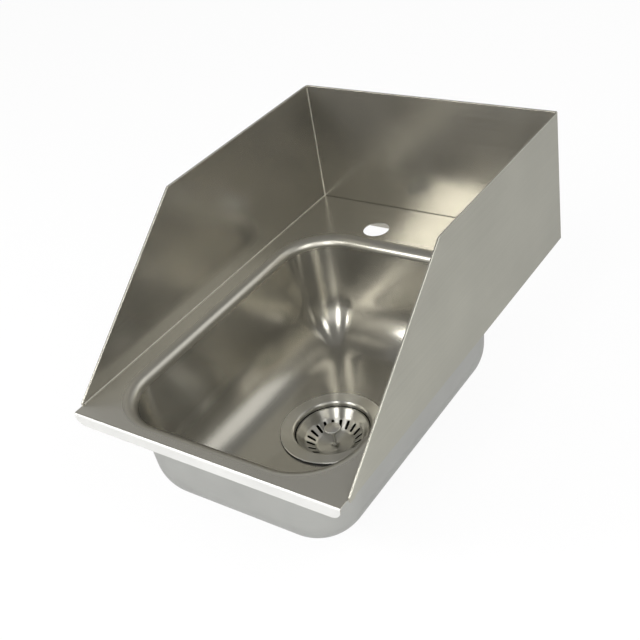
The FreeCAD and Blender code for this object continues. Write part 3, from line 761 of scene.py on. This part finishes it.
cupLow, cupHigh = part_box("strainer_body")
basketLow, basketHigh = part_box("basket_cup")
cupForm = {
    "sheet": 1.2 * mm, "flange": cupHigh.x, "edge": 0.8 * mm, "roll": 3 * mm, "radius": 43.5 * mm,
    "ledgeDrop": 7.4 * mm, "ledge": 3 * mm, "shadeRise": 1.4 * mm, "corner": 0.8 * mm,
    "floorCorner": 7 * mm, "outlet": 21 * mm}
cupLedge = cupHigh.z - cupForm["ledgeDrop"]  # the basket's seat


def cupMesh():
    f = cupForm
    t = f["sheet"]
    top = cupHigh.z
    under = cupLow.z
    inner = f["radius"] - f["ledge"]
    return turnedMesh("drainCup", [
        (f["outlet"], under), (inner + t, under, f["floorCorner"] + t), (inner + t, cupLedge - t),
        (f["radius"] + t, cupLedge - t, f["corner"] + t), (f["radius"] + t, top - t, f["roll"] - t),
        (f["flange"], top - t), (f["flange"], top, f["edge"]), (f["radius"], top, f["roll"]),
        (f["radius"], cupLedge + f["shadeRise"]), (f["radius"], cupLedge, f["corner"]),
        (inner, cupLedge, f["corner"]), (inner, under + t, f["floorCorner"]), (f["outlet"], under + t)],
        steps=240, arcSteps=8)


def inDrainShade(face):
    # painted shade: the inside is made dark, up to just over the basket's seat
    inside = face.center.xy.dot(face.normal.xy) < 1e-9 and face.normal.z > -0.5
    return inside and face.center.z < cupLedge + cupForm["shadeRise"]


drainCup = newPiece("drainCup", cupMesh(), drainSteel)
# the drain's inside below the basket gets painted shade
paintFaces(drainCup, drainShadeSteel, inDrainShade)
# painted highlight on the flange's outer edge
paintFaces(drainCup, edgeHighlightSteel, lambda face: face.center.xy.length > cupForm["flange"] - cupForm["edge"])
settle(drainCup, "sink", "drain_steel", "strainer_body")


def ringPiece(name, node, finish, slot, form):
    # a plain ring with its edges eased; bulge is how far the clamped rubber squeezes out
    low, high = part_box(node)
    outer = high.x + form.get("bulge", 0)
    mesh = turnedMesh(name, ringProfile(form["bore"], outer, low.z, high.z, form["ease"]))
    settle(newPiece(name, mesh, finish), "sink", slot, node)


ringPiece("flangeGasket", "flange_gasket", blackRubber, "black_rubber",
          {"bore": 46.9 * mm, "ease": 0.6 * mm, "bulge": 2.8 * mm})
ringPiece("sealingWasher", "sealing_washer", blackRubber, "black_rubber",
          {"bore": 45.1 * mm, "ease": 0.9 * mm})
ringPiece("frictionRing", "friction_ring", fibreBoard, "fibre_board",
          {"bore": 45.1 * mm, "ease": 0.2 * mm})
ringPiece("couplingWasher", "coupling_washer", whiteNylon, "white_nylon",
          {"bore": 19.3 * mm, "ease": 0.5 * mm})

nutForm = {
    "thread": 42.1 * mm, "wall": 5 * mm, "flange": 2.2 * mm, "flangeBore": 45.1 * mm, "seat": 0.4 * mm,
    "lugs": 6, "lugWidth": 9 * mm, "lugReach": 6 * mm, "lugEase": 0.8 * mm, "ease": 0.5 * mm}


def lockNut():
    f = nutForm
    low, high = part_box("lock_nut")
    inner = f["thread"]
    barrel = inner + f["wall"]
    ease = f["ease"]
    shelf = high.z - f["flange"]
    barrelTop = cupLedge - cupForm["sheet"] - f["seat"]
    ring = turnedMesh("lockNut", [
        (inner, low.z, ease), (barrel, low.z, ease), (barrel, shelf, ease), (high.x, shelf, ease),
        (high.x, high.z, ease), (f["flangeBore"], high.z), (f["flangeBore"], barrelTop), (inner, barrelTop)])
    lug = easedBlock("lug", (inner + f["wall"] / 2, -f["lugWidth"] / 2, low.z),
                     (barrel + f["lugReach"], f["lugWidth"] / 2, shelf), f["lugEase"])
    lugs = runTree(aroundAxis, lug, {"Count": f["lugs"], "Finish": castMetal})
    settle(newPiece("lockNut", gather("lockNut", [ring, lugs]), castMetal), "sink", "cast_metal", "lock_nut")


lockNut()

outletForm = {
    "bore": 19.6 * mm, "radius": 23.8 * mm, "flangeHeight": 2 * mm, "ease": 0.4 * mm,
    "turns": 9.0, "ridge": 0.8 * mm, "threadStart": 1.5 * mm, "threadShort": 4 * mm,
    "bars": 4, "barWidth": 4 * mm, "barHeight": 2.5 * mm, "barDrop": 2 * mm, "barEase": 0.5 * mm,
    "guide": (5 * mm, 8 * mm), "guideSteps": 64}


def outletSpigot():
    f = outletForm
    low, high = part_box("outlet_spigot")
    ease = f["ease"]
    root = f["radius"] - f["ridge"]
    shelf = high.z - f["flangeHeight"]
    tube = turnedMesh("outlet", [
        (f["bore"], low.z, ease), (root, low.z, ease), (root, shelf, ease), (high.x, shelf, ease),
        (high.x, high.z, ease), (f["bore"], high.z, ease)])
    ridges = runTree(thread, bpy.data.meshes.new("ridge"), {
        "Radius": root, "Height": shelf - low.z - f["threadShort"], "Turns": f["turns"],
        "Base": low.z + f["threadStart"], "Ridge": f["ridge"], "Finish": castMetal})
    barTop = high.z - f["barDrop"]
    barLow = barTop - f["barHeight"]
    bore, rim = f["guide"]
    guide = turnedMesh("guide", ringProfile(bore, rim, barLow, barTop, ease), f["guideSteps"])
    bar = easedBlock("bar", ((bore + rim) / 2, -f["barWidth"] / 2, barLow),
                     ((f["bore"] + root) / 2, f["barWidth"] / 2, barTop), f["barEase"])
    bars = runTree(aroundAxis, bar, {"Count": f["bars"], "Finish": castMetal})
    whole = gather("outletSpigot", [tube, ridges, guide, bars])
    settle(newPiece("outletSpigot", whole, castMetal), "sink", "cast_metal", "outlet_spigot")


outletSpigot()


def hexRing(flats, limit, z, steps):
    # one corner on the X axis; limit rounds the corners off towards the ends
    ring = []
    for j in range(steps):
        angle = 2 * math.pi * j / steps
        reach = min(flats / 2 / math.cos(angle % (math.pi / 3) - math.pi / 6), limit)
        ring.append(Vector((reach * math.cos(angle), reach * math.sin(angle), z)))
    return ring


def hexNut(name, node, body, finish, slot, form):
    low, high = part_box(node)
    steps = form["steps"]
    flats = high.y - low.y
    spare = flats / math.sqrt(3) - flats / 2
    shares = (0, 0.25, 0.5, 0.75, 1)
    levels = [(t, low.z + form["chamfer"] * t * t) for t in shares]
    levels += [(t, high.z - form["chamfer"] * t * t) for t in shares[::-1]]
    rings = [hexRing(flats, flats / 2 + spare * t, z, steps) for t, z in levels]
    lip = form.get("lip", 0)  # height of a narrower rim at the foot of the hole
    bores = [(form["bore"], high.z), (form["bore"], low.z + lip)]
    if lip:
        bores += [(form["lipBore"], low.z + lip), (form["lipBore"], low.z)]
    rings += [roundRing(radius, z, steps) for radius, z in bores]
    mesh = outward(loftMesh(name, rings))
    mesh.set_sharp_from_angle(angle=math.radians(25))
    settle(newPiece(name, mesh, finish), body, slot, node)


rodBore = 1.8 * mm  # hole for the basket's rod
hexNut("couplingNut", "coupling_nut", "sink", castMetal, "cast_metal", {
    "bore": 24.2 * mm, "lip": 3 * mm, "lipBore": 19.6 * mm, "chamfer": 1.4 * mm, "steps": 144})
hexNut("postNut", "post_nut", "basket", drainSteel, "drain_steel", {
    "bore": rodBore, "chamfer": 0.4 * mm, "steps": 72})

basketForm = {
    "sheet": 0.8 * mm, "bore": rodBore, "hubFlat": 7 * mm, "hubRadius": 21 * mm, "hubRound": 7 * mm,
    "hubDish": 2.5 * mm, "wallDrop": 9 * mm, "wallFoot": 33.7 * mm, "wallCorner": 3 * mm,
    "lip": 2.4 * mm, "lipRound": 0.35 * mm, "slots": 20, "slotWidth": 3.4 * mm,
    "slotStart": 22.8 * mm, "slotEnd": 32.2 * mm, "slotEase": 0.2 * mm, "cell": (21.9 * mm, 32.9 * mm),
    "apart": 0.05 * mm, "mapRadius": 30 * mm, "acrossSteps": 10, "alongSteps": 8, "arcSteps": 7}


def basketSector():
    # one slot and its share of the sheet, to be repeated round the axis
    f = basketForm
    top = basketHigh.z
    floor = basketLow.z + f["sheet"]
    line = roundedPath([
        (f["bore"], floor), (f["hubFlat"], floor), (f["hubRadius"], floor + f["hubDish"], f["hubRound"]),
        (f["wallFoot"], top - f["wallDrop"], f["wallCorner"]), (basketHigh.x - f["lip"], top, f["lipRound"]),
        (basketHigh.x - f["lipRound"], top)], f["arcSteps"])
    cellIn, cellOut = f["cell"]  # the slot is cut in the ring between these radii
    across = f["acrossSteps"]
    along = f["alongSteps"]
    half = math.pi / f["slots"]

    def heightAt(radius):
        for a, b in zip(line, line[1:]):
            if a.x <= radius <= b.x and b.x > a.x:
                return a.y + (b.y - a.y) * (radius - a.x) / (b.x - a.x)
        return line[-1].y

    def polar(radius, angle):
        return Vector((radius * math.cos(angle), radius * math.sin(angle)))

    def spaced(a, b, count):
        return [a + (b - a) * k / count for k in range(count)]

    cell = [polar(cellIn, a) for a in spaced(-half, half, across)]
    cell += [polar(radius, half) for radius in spaced(cellIn, cellOut, along)]
    cell += [polar(cellOut, a) for a in spaced(half, -half, across)]
    cell += [polar(radius, -half) for radius in spaced(cellOut, cellIn, along)]
    r = f["slotWidth"] / 2
    near = f["slotStart"] + r
    far = f["slotEnd"] - r
    slot = [Vector((near, 0)) + polar(r, a) for a in spaced(-math.pi / 2, -3 * math.pi / 2, across)]
    slot += [Vector((x, r)) for x in spaced(near, far, along)]
    slot += [Vector((far, 0)) + polar(r, a) for a in spaced(math.pi / 2, -math.pi / 2, across)]
    slot += [Vector((x, -r)) for x in spaced(far, near, along)]

    work = bmesh.new()
    layer = work.loops.layers.uv.new(grainMap)

    def quad(points):
        face = work.faces.new([work.verts.new(p) for p in points])
        for loop in face.loops:
            p = loop.vert.co
            loop[layer].uv = (math.atan2(p.y, p.x) * f["mapRadius"], p.xy.length + p.z)

    # the sheet's thickness measured straight down through the sloping wall
    drop = f["sheet"] * math.hypot(1, (heightAt(cellOut) - heightAt(cellIn)) / (cellOut - cellIn))

    def skin(p, under, dip):
        return Vector((p.x, p.y, heightAt(p.length) + (dip - drop if under else -dip)))

    shares = [(0, f["slotEase"]), (0.06, 0), (0.35, 0), (1, 0)]  # way out from the slot, and its eased edge
    upper, lower = ([[skin(a.lerp(b, t), under, dip) for a, b in zip(slot, cell)] for t, dip in shares]
                    for under in (False, True))
    for low, high in [*zip(upper, upper[1:]), *zip(lower, lower[1:]), (lower[0], upper[0])]:
        for j in range(len(cell)):
            m = (j + 1) % len(cell)
            quad((low[j], low[m], high[m], high[j]))

    def underside(points, first, last):
        result = []
        for i, p in enumerate(points):
            way = points[min(i + 1, len(points) - 1)] - points[max(i - 1, 0)]
            result.append(p - Vector((-way.y, way.x)).normalized() * f["sheet"])
        result[0] = points[0] - Vector((0, first))
        result[-1] = points[-1] - Vector((0, last))
        return result

    def strip(points):
        angles = [*spaced(-half, half, across), half]
        for start, end in zip(angles, angles[1:]):
            for a, b in zip(points, points[1:]):
                quad([polar(p.x, angle).to_3d() + Vector((0, 0, p.y))
                      for p, angle in ((a, start), (b, start), (b, end), (a, end))])

    innerLine = [p for p in line if p.x < cellIn - f["apart"]] + [Vector((cellIn, heightAt(cellIn)))]
    outerLine = [Vector((cellOut, heightAt(cellOut)))] + [p for p in line if p.x > cellOut + f["apart"]]
    underOuter = [Vector((p.x, min(p.y, top - f["sheet"]))) for p in underside(outerLine, drop, f["sheet"])]
    strip(underside(innerLine, f["sheet"], drop)[::-1] + innerLine)
    strip(outerLine + underOuter[::-1])
    bmesh.ops.remove_doubles(work, verts=work.verts, dist=2 * tiny)
    bmesh.ops.recalc_face_normals(work, faces=work.faces)
    return toMesh(work, "basketSector")


basketMesh = runTree(aroundAxis, basketSector(), {"Count": basketForm["slots"], "Finish": basketShadedSteel})
basketCup = newPiece("basketCup", outward(basketMesh, merge=4 * tiny), basketShadedSteel)
# painted highlight on the basket's lip
paintFaces(basketCup, edgeHighlightSteel, lambda face: face.center.xy.length > basketHigh.x - basketForm["lip"] / 2)
settle(basketCup, "basket", "drain_steel", "basket_cup")


def turnedPiece(name, node, slot, finish, profile, steps=96, arcSteps=6):
    mesh = turnedMesh(name, profile, steps, guard=0.1 * mm, arcSteps=arcSteps)
    piece = newPiece(name, mesh, finish)
    settle(piece, "basket", slot, node)
    return piece


postLow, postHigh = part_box("basket_post")
postEase = 0.3 * mm
turnedPiece("basketPost", "basket_post", "drain_steel", drainSteel, [
    (0, postLow.z), (postHigh.x, postLow.z, postEase), (postHigh.x, postHigh.z), (0, postHigh.z)], steps=48)

knobLow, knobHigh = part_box("basket_knob")
knobForm = {"neck": 3.2 * mm, "cone": 1.2 * mm, "dome": 0.8 * mm, "round": 0.8 * mm, "domeRound": 9.3 * mm}
basketKnob = turnedPiece("basketKnob", "basket_knob", "drain_steel", knobSteel, [
    (0, knobLow.z), (knobForm["neck"], knobLow.z, postEase),
    (knobHigh.x, knobLow.z + knobForm["cone"], knobForm["round"]),
    (knobHigh.x, knobHigh.z - knobForm["dome"], knobForm["round"]),
    (knobForm["neck"], knobHigh.z, knobForm["domeRound"]), (0, knobHigh.z)], steps=128, arcSteps=10)
# painted highlight on the knob's rim
paintFaces(basketKnob, edgeHighlightSteel, lambda face: face.center.xy.length > knobHigh.x - knobForm["round"])

plugLow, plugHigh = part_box("stopper")
plugForm = {"height": 4 * mm, "bevel": 2 * mm, "boss": 8 * mm, "foot": 0.8 * mm, "round": 1 * mm}
plugTop = plugLow.z + plugForm["height"]
turnedPiece("stopperPlug", "stopper", "black_rubber", blackRubber, [
    (rodBore, plugLow.z), (plugHigh.x - plugForm["bevel"], plugLow.z, plugForm["foot"]),
    (plugHigh.x, plugLow.z + plugForm["bevel"], plugForm["round"]), (plugHigh.x, plugTop, plugForm["round"]),
    (plugForm["boss"], plugTop, plugForm["round"]), (plugForm["boss"], plugHigh.z), (rodBore, plugHigh.z)])

padLow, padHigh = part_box("stopper_washer")
padEase = 0.2 * mm
turnedPiece("stopperWasher", "stopper_washer", "drain_steel", drainSteel,
            ringProfile(rodBore, padHigh.x, padLow.z, padHigh.z, padEase))

catchLow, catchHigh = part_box("post_catch")
catchForm = {"radius": 4.2 * mm, "waist": 3 * mm, "round": 2.1 * mm}
turnedPiece("postCatch", "post_catch", "white_nylon", whiteNylon, [
    (rodBore, catchLow.z), (catchForm["radius"], catchLow.z + catchForm["waist"], catchForm["round"]),
    (rodBore, catchHigh.z)])

studio = {
    "floorGap": 1 * mm, "floorSize": 30, "paper": (0.86, 0.86, 0.86, 1), "white": (1, 1, 1, 1),
    "whiteShare": 0.92, "mirroredShare": 0.5, "ambient": 0.55, "ceiling": 0.26, "ceilingRise": (0.22, 0.7)}


def backgroundRays(tree, straight=1, mirrored=1):
    # how white the backdrop is for rays that show it, seen straight or in metal
    path = addNode(tree, "ShaderNodeLightPath").outputs
    clear = mathNode(tree, "MAXIMUM", path["Is Camera Ray"], path["Is Transmission Ray"])
    seen = mathNode(tree, "MULTIPLY", clear, straight)
    metal = mathNode(tree, "MULTIPLY", path["Is Glossy Ray"], mirrored)
    return mathNode(tree, "MAXIMUM", seen, metal)


def makeFloor():
    level = min(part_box("coupling_nut")[0].z, postLow.z) - studio["floorGap"]
    half = studio["floorSize"] / 2
    mesh = bpy.data.meshes.new("floor")
    mesh.from_pydata([(-half, -half, level), (half, -half, level), (half, half, level), (-half, half, level)],
                     [], [(0, 1, 2, 3)])
    material, tree, _ = newMaterial("paleFloor")
    tree.nodes.clear()
    paper = addNode(tree, "ShaderNodeBsdfDiffuse", {"Color": studio["paper"]})
    glow = addNode(tree, "ShaderNodeEmission", {"Color": studio["white"], "Strength": 1})
    mix = addNode(tree, "ShaderNodeMixShader", {
        0: backgroundRays(tree, studio["whiteShare"], studio["mirroredShare"]), 1: paper, 2: glow})
    addNode(tree, "ShaderNodeOutputMaterial", {"Surface": mix})
    newPiece("floor", mesh, material)


def makeWorld():
    world = bpy.data.worlds.new("studioWhite")
    bpy.context.scene.world = world
    world.use_nodes = True
    tree = world.node_tree
    tree.nodes.clear()
    way = addNode(tree, "ShaderNodeTexCoord")
    height = addNode(tree, "ShaderNodeSeparateXYZ", {0: way.outputs["Generated"]})
    rise = studio["ceilingRise"]  # the backdrop is white to the first height and ends in a darker ceiling
    dim = addNode(tree, "ShaderNodeMapRange", {
        "Value": height.outputs["Z"], "From Min": rise[0], "From Max": rise[1],
        "To Min": 1, "To Max": studio["ceiling"]})
    fill = addNode(tree, "ShaderNodeBackground", {"Color": studio["white"], "Strength": studio["ambient"]})
    white = addNode(tree, "ShaderNodeBackground", {"Color": studio["white"], "Strength": dim})
    mix = addNode(tree, "ShaderNodeMixShader", {0: backgroundRays(tree), 1: fill, 2: white})
    addNode(tree, "ShaderNodeOutputWorld", {"Surface": mix})


def softLamp(name, place, aim, size, watts):
    light = bpy.data.lights.new(name, "AREA")
    light.shape = "RECTANGLE"
    light.size, light.size_y = size
    light.energy = watts
    lamp = placeObject(name, light)
    lamp.location = place
    lamp.rotation_euler = (Vector(aim) - Vector(place)).to_track_quat("-Z", "Y").to_euler()


makeFloor()
makeWorld()
softLamp("frontLeft", (-1.15, -1.5, 1.2), (-0.75, 0, 0), (1.3, 0.4), 28)
softLamp("front", (0.4, -1.6, 1.15), (-0.1, 0.15, -0.05), (0.35, 1.4), 14)
softLamp("behindCamera", (1.15, -1.4, 1.25), (-0.1, 0.15, 0), (1.6, 1.2), 5)
softLamp("right", (1.4, -0.45, 1.25), (-0.1, 0.15, -0.05), (0.35, 1.4), 14)
softLamp("rightBack", (0.75, 1.1, 1.25), (0, 0, -0.1), (0.9, 0.9), 3.5)

cameraView = {
    "place": (0.57895, -0.69005, 0.63164), "right": (0.82204861, 0.54707321, -0.15794614),
    "down": (0.20487519, -0.54297109, -0.81437617), "ahead": (-0.53128357, 0.63709756, -0.55843036),
    "lens": 58.414, "sensor": 36, "shift": (0.01056, -0.00492)}


def makeCamera():
    lens = bpy.data.cameras.new("photoView")
    lens.sensor_width = cameraView["sensor"]
    lens.lens = cameraView["lens"]
    lens.shift_x, lens.shift_y = cameraView["shift"]
    camera = placeObject("photoView", lens)
    right, down, ahead = (Vector(cameraView[key]) for key in ("right", "down", "ahead"))
    turn = Matrix((right, -down, -ahead)).transposed().to_4x4()
    camera.matrix_world = Matrix.Translation(cameraView["place"]) @ turn
    bpy.context.scene.camera = camera


makeCamera()
bpy.context.scene.view_settings.view_transform = "Standard"
print("studio ready")
